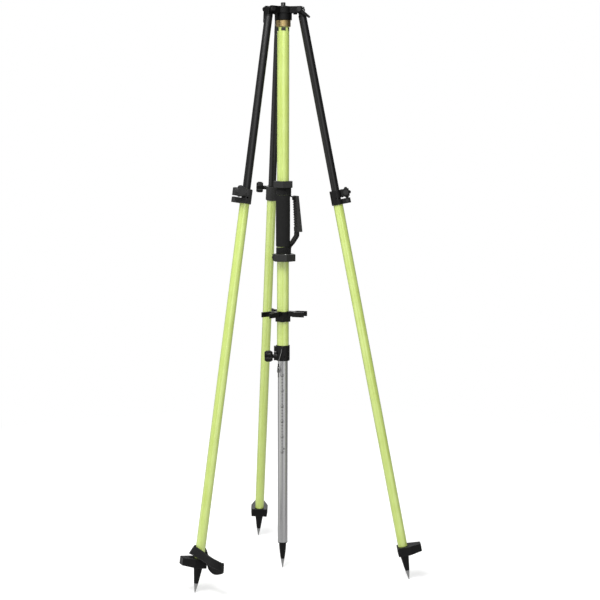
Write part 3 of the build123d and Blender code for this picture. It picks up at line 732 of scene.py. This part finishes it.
handleLook = {
    "azimuth": 10.0,
    "bandThickness": 1.35 * mm,
    "bandTurns": 2.08,
    "bandStart": 130.0,  # degrees on from the handle
    "bandTuck": 0.06,  # turns that add no thickness
    "bandPack": 0.55,  # thicknesses that each turn lies further out
    "bandSteps": 150,
    "bandFit": 0.1 * mm,  # off the pole
    "bandClimb": (3.1 * mm, 1.85 * mm),  # lower band's top edge: middle, and more towards climbAzimuth
    "climbAzimuth": -13.0,
    "bandGap": 0.2 * mm,  # least left below the sleeve
    "webThickness": 2.6 * mm,
    "webWidth": 28.0 * mm,
    "webFit": 0.4 * mm,  # off the sleeve
    "webTouch": 0.3 * mm,  # off the grip
    "plyGap": 0.1 * mm,
    "webTail": 5.0 * mm,  # straight beside the bands and the grip
    "webLap": (3.0 * mm, 14.0 * mm),  # sewn to the grip between these depths below its top
    "webLeave": 0.35,  # from the grip's inner edge to its outer edge
    "webFall": 13.0 * mm,  # straight down below the grip
    "webBend": 12.0 * mm,
    "webFlatten": 12.0 * mm,  # flat once it stands this far off the bands
    "lowPlies": 3,
    "webLand": 4.0 * mm,  # lower run leaves the pole this far below the sleeve
    "seamInset": 2.6 * mm,
    "gripEnd": 1.0 * mm,  # the grip's ends are read within this
}


def bandStations(low, high, inner, look, room=0):
    stations = []
    height = Vector((0, 0, 1))
    middle, more = look["bandClimb"]
    for i in range(look["bandSteps"] + 1):
        share = i / look["bandSteps"]
        azimuth = look["azimuth"] + look["bandStart"] + 360 * look["bandTurns"] * share
        outward = polar(1, azimuth)
        plies = 0.5 + (look["bandTurns"] - look["bandTuck"]) * share * look["bandPack"]
        radius = inner + look["bandThickness"] * plies
        climb = middle + more * math.cos(math.radians(azimuth - look["climbAzimuth"]))
        top = high + min(climb, room)
        stations.append((outward * radius + height * (low + top) / 2, height, outward, (top - low) / 2, 0))
    return stations


def makeBands(look):
    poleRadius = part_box("pole_tube")[1].x
    low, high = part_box("handle_bands")
    heights = [vertex.co.z for vertex in nodes["handle_bands"].data.vertices]
    middle = (low.z + high.z) / 2
    lowTop = max(z for z in heights if z < middle)
    highBottom = min(z for z in heights if z > middle)
    bm = bmesh.new()
    wound = 0
    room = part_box("foam_sleeve")[0].z - lowTop - look["bandGap"]
    for bottom, top, climb in ((low.z, lowTop, room), (highBottom, high.z, 0)):
        stations = bandStations(bottom, top, poleRadius + look["bandFit"], look, climb)
        wound += addStrip(bm, stations, look["bandThickness"])
    bands = addPiece("handle_bands_woven", bm, woven, "pole", ("handle_bands",))
    return low.z, highBottom, high.z


def webStations(route, edge, look):  # bent round the pole where it lies on the bands, flat where it leaves them
    radial, across = polar(1, look["azimuth"]), polar(1, look["azimuth"] + 90)
    corners = [radial * radius + Vector((0, 0, height)) for radius, height in route]
    line = alongCurve(softRoute(corners, look["webBend"]))
    stations = []
    for point, ahead in zip(line, headings(line)):
        outward = ahead.cross(across).normalized()
        outward *= 1 if outward.dot(radial) > 0 else -1
        radius = point.dot(radial)
        free = min(1, max(0, (radius - edge) / look["webFlatten"]))
        curl = (1 - free * free * (3 - 2 * free)) / radius
        stations.append((point, across, outward, look["webWidth"] / 2, curl))
    return stations


def makeHandleWebbing(look, levels):
    lowBottom, highBottom, highTop = levels
    radial = polar(1, look["azimuth"])
    grip = [(vertex.co.dot(radial), vertex.co.z) for vertex in nodes["carry_grip"].data.vertices]
    gripTop, gripBottom = max(z for r, z in grip), min(z for r, z in grip)
    topRadii = [r for r, z in grip if z > gripTop - look["gripEnd"]]
    lowRadii = [r for r, z in grip if z < gripBottom + look["gripEnd"]]
    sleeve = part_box("foam_sleeve")
    edge = sleeve[1].x + look["webFit"] + look["webThickness"] / 2
    lowLeave = min(lowRadii) + look["webLeave"] * (max(lowRadii) - min(lowRadii))
    slope = (min(lowRadii) - min(topRadii)) / (gripTop - gripBottom)
    touch = look["webTouch"]
    seat = min(topRadii) - look["webThickness"] / 2 - touch  # flat on the grip's inner face
    first, last = look["webLap"]
    highRoute = [(edge, highTop), (edge, highBottom - look["webTail"]), (seat + slope * first, gripTop - first),
                 (seat + slope * last, gripTop - last)]
    lowRoute = [(edge, lowBottom), (edge, sleeve[0].z - look["webLand"]), (lowLeave, gripBottom - look["webFall"]),
                (lowLeave, gripBottom - touch)]
    runs = [webStations(route, edge, look) for route in (highRoute, lowRoute)]
    ply = look["webThickness"] + look["plyGap"]
    for k in range(1, look["lowPlies"]):  # more plies of the lower run, between the first and the pole
        inside = [(centre - outward * ply * k, across, outward, half, curl)
                  for centre, across, outward, half, curl in runs[1] if centre.dot(radial) - ply * k > edge]
        runs.append(inside)
    bm = bmesh.new()
    stitches = bmesh.new()
    total = sum(addStrip(bm, stations, look["webThickness"]) for stations in runs)
    for stations in runs[:2]:
        for side in (-1, 1):  # a seam along each edge of the strip
            share = side * (1 - 2 * look["seamInset"] / look["webWidth"])
            points, normals = zip(*[onStrip(station, share, look["webThickness"] / 2) for station in stations])
            addStitchRun(stitches, points, normals, stitchLook)
    strips = addPiece("handle_webbing_woven", bm, woven, "pole", ("handle_webbing",))
    seams = addPiece("handle_stitching", stitches, thread, "pole")


bandLevels = makeBands(handleLook)
makeHandleWebbing(handleLook, bandLevels)
print("handle webbing sewn")


# Foam sleeve under the hand

sleeveLook = {
    "lip": 1.2 * mm, "swell": 0.25 * mm, "fit": 0.05 * mm, "fill": 0.8,
    "lump": 0.12 * mm, "lumpsRound": 2.2, "lumpLength": 14 * mm,
    "seamDepth": 0.7 * mm, "seamAzimuth": 120, "seamSpread": 0.045,
    "rows": 64, "sides": 96,
}


def makeSleeve(look):
    low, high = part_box("foam_sleeve")
    outer = high.x
    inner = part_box("pole_tube")[1].x + look["fit"]
    lip = look["lip"]
    profile = [(inner, low.z)]
    profile += roundCorner((outer - lip, low.z + lip), lip, -90, 0)
    for i in range(1, look["rows"]):
        profile.append((outer, low.z + lip + (high.z - low.z - 2 * lip) * i / look["rows"]))
    profile += roundCorner((outer - lip, high.z - lip), lip, 0, 90)
    profile.append((inner, high.z))
    bm = bmesh.new()
    rings = []
    for radius, height in profile:
        ring = []
        for k in range(look["sides"]):
            angle = 2 * math.pi * k / look["sides"]
            fullness = max(0, (radius - inner) / (outer - inner))
            around = Vector((math.cos(angle), math.sin(angle), 0)) * look["lumpsRound"]
            lump = noise.noise(around + Vector((0, 0, height / look["lumpLength"])))
            swell = look["swell"] * math.sin(math.pi * (height - low.z) / (high.z - low.z))
            offSeam = (angle - math.radians(look["seamAzimuth"])) / look["seamSpread"]
            seam = look["seamDepth"] * math.exp(-offSeam ** 2)
            far = radius + fullness * (swell - look["swell"] + look["lump"] * lump - seam)
            ring.append(bm.verts.new((far * math.cos(angle), far * math.sin(angle), height)))
        rings.append(ring)
    rings.append(rings[0])
    joinRings(bm, rings, False)
    sleeve = addPiece("foam_sleeve_wrap", bm, foam, "pole", ("foam_sleeve",), 60)


makeSleeve(sleeveLook)
print("sleeve wrapped")


# Slack strap looped round the left leg above its foot

strapLook = {
    "width": 29.0 * mm,
    "thickness": 2.4 * mm,
    "stepsBetween": 8,
    "seam": 0.86,  # share of the half width
    "tipRound": 1.2 * mm,  # rounding of the spike's tip
}
strapEdges = [  # lower and upper edge in mm: towards the outside, sideways, above the spike's tip
    ((26.5, 0, 115.5), (20, 0, 143.5)),
    ((23.5, 30, 109.5), (21.5, 30, 138.5)),
    ((22.5, 60, 103), (22, 60, 132)),
    ((22, 84, 97.5), (22, 84, 126.5)),
    ((15.5, 100, 93), (15, 98, 122)),
    ((0, 107, 87), (0, 101, 115.5)),
    ((-16, 100, 83), (-16, 96, 111.5)),
    ((-23, 84, 75), (-23, 83, 104)),
    ((-24, 60, 67), (-24, 60, 96)),
    ((-24.5, 40, 67), (-24.5, 40, 96)),
    ((-25, 20, 76), (-25, 20, 105)),
    ((-26, 3, 98), (-26, 3, 127)),
    ((-26.5, -10, 109), (-26, -10, 138)),
    ((-18, -21, 112), (-18, -20, 140)),
    ((4, -29, 115.5), (-1, -22, 143)),
    ((24, -23, 117), (13.5, -14.5, 143.5)),
]


def closedLine(points, steps):  # smooth ring through the points
    line = []
    count = len(points)
    for i in range(count):
        a, b, c, d = [points[(i + k) % count] for k in (-1, 0, 1, 2)]
        for k in range(steps):
            share = k / steps
            slope = (c - a) * share / 2
            bend = (2 * a - 5 * b + 4 * c - d) * share**2 / 2
            twist = (3 * b - a - 3 * c + d) * share**3 / 2
            line.append(b + slope + bend + twist)
    return line


def makeStrap(look):
    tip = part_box("left_spike_tip")[0].z
    hinge, down, turn = legAxis("left")
    toTip = (hinge.z - tip - look["tipRound"]) / -down.z
    place = Matrix.Translation(hinge) @ Matrix.Rotation(turn[2], 4, "Z") @ Matrix.Rotation(turn[1], 4, "Y")
    place = place @ Matrix.Translation((0, 0, -toTip))
    lows, highs = [closedLine([place @ (Vector(row[side]) * mm) for row in strapEdges], look["stepsBetween"])
                   for side in (0, 1)]
    centres = [(low + high) / 2 for low, high in zip(lows, highs)]
    stations = []
    for i, (low, high, centre) in enumerate(zip(lows, highs, centres)):
        ahead = centres[(i + 1) % len(centres)] - centres[i - 1]
        across = (high - low).normalized()
        stations.append((centre, across, ahead.cross(across).normalized(), (high - low).length / 2, 0))
    bm = bmesh.new()
    length = addStrip(bm, stations, look["thickness"], True)
    strap = addPiece("leg_strap_woven", bm, woven, "left_leg_lower", ("leg_strap",))
    stitches = bmesh.new()
    for edge in (-look["seam"], look["seam"]):
        points = [onStrip(station, edge, look["thickness"] / 2)[0] for station in stations]
        addStitchRun(stitches, points, [station[2] for station in stations], stitchLook)
    seams = addPiece("leg_strap_stitching", stitches, thread, "left_leg_lower")


makeStrap(strapLook)
print("leg strap looped")


# Height scale on the inner pole

scaleLook = {
    "azimuth": 250.0, "raised": 0.04 * mm,
    "highest": 1.75, "lowest": 1.50, "step": 0.01, "numbered": 5,  # antenna heights, every fifth with a numeral
    "numeral": 7.4 * mm, "numeralLift": 1.8 * mm, "weld": 0.002 * mm,
    "tick": (2.6 * mm, 0.6 * mm), "longTick": (4.2 * mm, 0.9 * mm),  # half width and half height
    "columns": 6,
}


def wrapOnPole(point, radius, azimuth, level):  # flat X and Y onto the pole's face
    return polar(radius, azimuth + math.degrees(point.x / radius), level + point.y)


def makeScale(look):
    radius = (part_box("inner_pole")[1].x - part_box("inner_pole")[0].x) / 2 + look["raised"]
    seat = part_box("antenna_stud")[1].z - studHeight
    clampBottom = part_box("pole_clamp")[0].z
    bm = bmesh.new()
    steps = round((look["highest"] - look["lowest"]) / look["step"])
    for i in range(steps + 1):
        reading = look["highest"] - look["step"] * i
        level = clampBottom - (seat - reading)
        long = round(reading / look["step"]) % look["numbered"] == 0
        half, rise = look["longTick"] if long else look["tick"]
        for k in range(look["columns"]):
            left, right = [half * (2 * column / look["columns"] - 1) for column in (k, k + 1)]
            corners = [Vector((x, y, 0)) for x, y in ((left, -rise), (right, -rise), (right, rise), (left, rise))]
            bm.faces.new([bm.verts.new(wrapOnPole(c, radius, look["azimuth"], level)) for c in corners])
        if long:
            text = bpy.data.curves.new("numeral", "FONT")
            text.body = format(reading, ".2f")
            text.size = look["numeral"]
            text.align_x = "CENTER"
            drawn = meshFrom(text)
            for vertex in drawn.vertices:
                vertex.co = wrapOnPole(vertex.co, radius, look["azimuth"], level + look["numeralLift"])
            bm.from_mesh(drawn)
            bpy.data.meshes.remove(drawn)
    bmesh.ops.remove_doubles(bm, verts=bm.verts, dist=look["weld"])
    addPiece("height_scale", bm, ink, "inner")


makeScale(scaleLook)
print("scale printed")


# Plain index bars round the top of the pole

barLook = {
    "azimuth": 260.0, "count": 5, "width": 44.0,  # degrees
    "height": 10.5 * mm, "below": 1.6 * mm, "corner": 1.2 * mm, "raised": 0.05 * mm,
    "columns": 14,
}


def makeBars(look):
    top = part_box("pole_tube")[1]
    radius = top.x + look["raised"]
    half, rise, corner = radius * math.radians(look["width"]) / 2, look["height"] / 2, look["corner"]
    columns = look["columns"]
    bm = bmesh.new()
    for i in range(look["count"]):
        azimuth = look["azimuth"] + 360 * i / look["count"]
        level = top.z - look["below"] - rise
        pairs = []
        for k in range(columns + 1):
            x = -half * math.cos(math.pi * k / columns)
            nip = max(0, corner - (half - abs(x)))
            y = rise - corner + math.sqrt(max(0, corner**2 - nip**2))
            ends = [wrapOnPole(Vector((x, side * y, 0)), radius, azimuth, level) for side in (-1, 1)]
            pairs.append([bm.verts.new(end) for end in ends])
        for (a, b), (c, d) in zip(pairs, pairs[1:]):
            bm.faces.new((a, c, d, b))
    addPiece("index_bars", bm, ink, "pole")


makeBars(barLook)
print("index bars printed")


# Antenna stud with its thread turns

studLook = {
    "crest": 7.94 * mm, "pitch": 2.309 * mm, "depth": 1.2 * mm, "chamfer": 1.2 * mm,
    "flange": 15.0 * mm, "bevel": 0.4 * mm,
    "lift": 0.3 * mm, "shank": 6 * mm,  # flange off the plate, shank below the flange
    "sides": 64, "stepsPerTurn": 10,
}


def threadRadius(angle, height, look):
    phase = (height / look["pitch"] - angle / (2 * math.pi)) % 1
    groove = min(1, max(0, 1.25 - abs(phase - 0.5) * 3.2))  # flat root, sloping flanks, flat crest
    nose = look["crest"] - look["chamfer"] + (studHeight - height)
    return min(look["crest"] - look["depth"] * groove, nose)


def makeStud(look):
    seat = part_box("antenna_stud")[1].z - studHeight
    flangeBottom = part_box("head_plate")[1].z + look["lift"]
    core, flange, bevel = look["crest"] - look["depth"], look["flange"], look["bevel"]
    profile = [(core, flangeBottom - look["shank"]), (core, flangeBottom)]
    profile += [(flange - bevel, flangeBottom), (flange, flangeBottom + bevel)]
    profile += [(flange, seat - bevel), (flange - bevel, seat), (core, seat)]
    bm = bmesh.new()
    rings = []
    angles = [2 * math.pi * k / look["sides"] for k in range(look["sides"])]
    for radius, height in profile:
        rings.append([bm.verts.new((radius * math.cos(a), radius * math.sin(a), height)) for a in angles])
    steps = round(studHeight / look["pitch"] * look["stepsPerTurn"])
    for i in range(1, steps + 1):
        height = seat + studHeight * i / steps
        radii = [threadRadius(a, height - seat, look) for a in angles]
        rings.append([bm.verts.new((r * math.cos(a), r * math.sin(a), height)) for r, a in zip(radii, angles)])
    joinRings(bm, rings)
    addPiece("antenna_stud_threaded", bm, darkSteel, "pole", ("antenna_stud",), 30)


makeStud(studLook)
print("stud threaded")


# Round level vial: domed lens, printed circle and bubble

vialLook = {
    "rim": 0.5 * mm, "dome": 1.6 * mm, "lift": 0.05 * mm, "domeSteps": 12, "sides": 64,
    "circle": 4.4 * mm, "line": 0.25 * mm, "lineDepth": 0.12 * mm, "lineLift": 0.55 * mm, "lineRise": 0.93,
    "bubble": ((0.02, 0.9), (2.64, 1.0), (3.3, 1.2), (2.64, 1.45), (1.32, 1.6), (0.02, 1.65)),  # radius, height in mm
    "bubbleAside": (0.6 * mm, -0.4 * mm), "bubbleSides": 32,
}


def makeVial(look):
    low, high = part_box("vial_glass")
    centre = ((low.x + high.x) / 2, (low.y + high.y) / 2)
    radius, top = (high.x - low.x) / 2, high.z + look["lift"]
    profile = [(radius, top), (radius, top + look["rim"])]
    for i in range(1, look["domeSteps"]):
        angle = math.pi / 2 * i / look["domeSteps"]
        profile.append((radius * math.cos(angle), top + look["rim"] + look["dome"] * math.sin(angle)))
    bm = bmesh.new()
    lathe(bm, profile, look["sides"], centre)
    addPiece("vial_lens", bm, lens, "pole", (), 50)
    bm = bmesh.new()
    bubble = [(far * mm, top + rise * mm) for far, rise in look["bubble"]]
    aside = [middle + shift for middle, shift in zip(centre, look["bubbleAside"])]
    lathe(bm, bubble, look["bubbleSides"], aside)
    addPiece("vial_bubble", bm, lens, "pole", (), 70)
    bm = bmesh.new()
    inner, outer = look["circle"], look["circle"] + look["line"]
    level = top + look["dome"] * look["lineRise"] + look["lineLift"]
    upper = level + look["lineDepth"]
    lathe(bm, [(inner, level), (outer, level), (outer, upper), (inner, upper)], look["sides"], centre)
    bmesh.ops.delete(bm, geom=[f for f in bm.faces if len(f.verts) > 4], context="FACES_ONLY")  # the two caps
    addPiece("vial_circle", bm, ink, "pole")


makeVial(vialLook)
print("vial filled")


# Every CAD node that shows takes a finish

def dress():
    # Like clamps and knobs take lighter or darker blacks by leg as painted light and shade: the right clamp darker
    # than the other two as painted shade, the left knob lighter than the other knobs as painted light.
    clampBlacksByLight = {"back": moulded, "left": moulded, "right": deepBlackAndShade}
    knobBlacksByLight = {"back": deepBlackAndShade, "left": moulded, "right": deepBlackAndShade}
    finishes = {
        "head_plate": cast, "head_hub": cast, "brass_bushing": brass, "arm_bolts": bolts, "hinge_bolts": bolts,
        "pole_tube": fluoCoat("pole"), "top_spindle": steel, "pole_clamp": deepBlackAndShade, "leg_clip": deepBlackAndShade,
        "vial_bracket": moulded, "vial_cup": vialMetal, "vial_glass": fluid, "carry_grip": gripRubber(),
        "hex_collar": moulded, "ring_screws": bolts, "lanyard_ring": bolts, "lock_pin": darkSteel,
        "inner_pole": silverTube(), "inner_guide": moulded, "point_adapter": cast, "point_tip": steel,
        "pole_knob": deepBlackAndShade,
    }
    for leg in legs:
        tip = turnedMetal("turned_steel_" + leg, metalLook["turned_steel"], leg)
        finishes.update({
            leg + "_tang": cast, leg + "_upper_tube": blackTube(leg), leg + "_guide": moulded,
            leg + "_lower_tube": fluoCoat(leg), leg + "_clamp": clampBlacksByLight[leg], leg + "_clamp_bolts": bolts,
            leg + "_clamp_knob": knobBlacksByLight[leg], leg + "_hinge_lever": cast, leg + "_foot": cast,
            leg + "_spike_tip": tip,
        })
    for name, material in finishes.items():
        paint(nodes[name].data, material)
    plain = [name for name, node in nodes.items() if name not in finishes and not node.hide_render]
    print("dressed", len(finishes), "nodes, left plain:", plain)


dress()


# Studio: pale floor, soft lights, white surround

studioLook = {
    "floor": 0.84, "floorRough": 0.9, "floorGloss": 0.1, "floorSize": 60,
    "bounce": 0.60,  # of the floor, for the light that it throws back
    "floorGlow": 0.29,
    "floorFade": (1.2, 2.6),  # the lit floor fades to plain white between these distances
    "fill": {"level": 0.33, "from": (-0.75, -0.50, 0.45), "span": (-0.2, 1), "gain": 0.56},  # stronger from one side
    "sky": {  # what a mirror finds above the horizon, turned right from behind the camera
        "level": 0.09, "above": 0.25,
        "panels": [
            {"turn": 8, "core": 4, "edge": 34, "level": 1.35},
            {"turn": -84, "core": 30, "edge": 54, "level": 0.22},
        ],
    },
    "ground": {  # and on the floor
        "level": 0.26, "above": 0, "near": 0.56, "reach": (0.1, 2.2), "most": 2,  # most: the strongest
        "panels": [
            {"turn": -66, "core": 24, "edge": 60, "level": 0.78},
            {"turn": 36, "core": 10, "edge": 40, "level": 0.84},
        ],
    },
    "lamps": {
        "key": {"place": (-1.7, -1.3, 3.2), "size": 1.6, "power": 14},
        "top": {"place": (-1.0, -1.6, 3.3), "size": 1.4, "power": 62},
        "back": {"place": (0.6, 2.5, 2.6), "size": 1.6, "power": 36},  # for the side that the camera does not see
    },
    "lampAim": (0, 0, 0.9),
    "overhead": (0.2, 0.9),  # heights of a direction between which the light from above sets in
}


def seenDirectly(finish):  # rays that show the surround: camera, mirror and glass
    camera, glossy, through = [finish.ray(kind) for kind in ("Camera", "Glossy", "Transmission")]
    return camera.math("MAXIMUM", glossy).math("MAXIMUM", through)


def addSoftbox(name, look, aim):
    lamp = bpy.data.lights.new(name, "AREA")
    lamp.energy = look["power"]
    lamp.size = look["size"]
    holder = addObject(name, lamp)
    holder.location = look["place"]
    holder.rotation_euler = (Vector(aim) - holder.location).to_track_quat("-Z", "Y").to_euler()


def roomGloss(finish, direction, look):  # strength that a mirror finds in a direction
    view = math.radians(cameraLook["aim"])
    axes = ((math.sin(view), -math.cos(view), 0), (-math.cos(view), -math.sin(view), 0), (0, 0, 1))
    right, nearer, up = [finish.dot(direction, axis) for axis in axes]
    turn = right.math("ARCTAN2", nearer)
    strength = look["level"] + look["above"] * finish.between(up, *studioLook["overhead"])
    for panel in look["panels"]:
        away = abs(turn - math.radians(panel["turn"]))
        lit = finish.between(away, math.radians(panel["edge"]), math.radians(panel["core"]))
        strength = strength + panel["level"] * lit
    return strength


def setFloor(look):
    bm = bmesh.new()
    bmesh.ops.create_grid(bm, x_segments=1, y_segments=1, size=look["floorSize"])
    floor = addObject("floor", meshOf("floor", bm))
    finish = Finish("floor_pale")
    base = {"Roughness": look["floorRough"], "Specular IOR Level": look["floorGloss"]}
    dull = finish.add("ShaderNodeBsdfPrincipled", None, {**base, "Base Color": grey(look["bounce"])})
    glow = {"Base Color": grey(look["floor"]), "Emission Color": grey(1), "Emission Strength": look["floorGlow"]}
    near = finish.add("ShaderNodeBsdfPrincipled", None, {**base, **glow})
    distance = finish.add("ShaderNodeVectorMath", {"operation": "LENGTH"}, {0: finish.place()}, "Value")
    fade = finish.between(distance, *look["floorFade"])
    shown = finish.mixed(fade, near, finish.white(1))
    ground = look["ground"]
    room = roomGloss(finish, finish.place(), ground)
    reach = finish.between(distance, *ground["reach"])
    found = reach * room + (1 - reach) * ground["near"]
    mirrored = finish.mixed(found / ground["most"], finish.white(0), finish.white(ground["most"]))
    seen = finish.mixed(finish.ray("Camera"), mirrored, shown)
    mixed = finish.mixed(seenDirectly(finish), dull, seen)
    finish.add("ShaderNodeOutputMaterial", None, {"Surface": mixed})
    floor.data.materials.append(finish.material)


def setSurround(look):  # white for the camera, a room with two panels for gloss and an even fill for the rest
    world = bpy.data.worlds.new("surround")
    bpy.context.scene.world = world
    world.use_nodes = True
    sky = Finish("surround", world.node_tree)
    direction = sky.add("ShaderNodeTexCoord", None, None, "Generated")
    room = roomGloss(sky, direction, look["sky"])
    fill = look["fill"]
    side = sky.dot(direction, Vector(fill["from"]).normalized())
    soft = fill["level"] + fill["gain"] * sky.between(side, *fill["span"])
    lit = sky.add("ShaderNodeBackground", None, {"Color": grey(1), "Strength": soft})
    whole = sky.ray("Camera").math("MAXIMUM", room)
    shown = sky.add("ShaderNodeBackground", None, {"Color": grey(1), "Strength": whole})
    sky.add("ShaderNodeOutputWorld", None, {"Surface": sky.mixed(seenDirectly(sky), lit, shown)})


def setStudio(look):
    setFloor(look)
    setSurround(look)
    for name, lamp in look["lamps"].items():
        addSoftbox(name, lamp, look["lampAim"])
    bpy.context.scene.view_settings.view_transform = "Standard"


setStudio(studioLook)
print("studio lit")
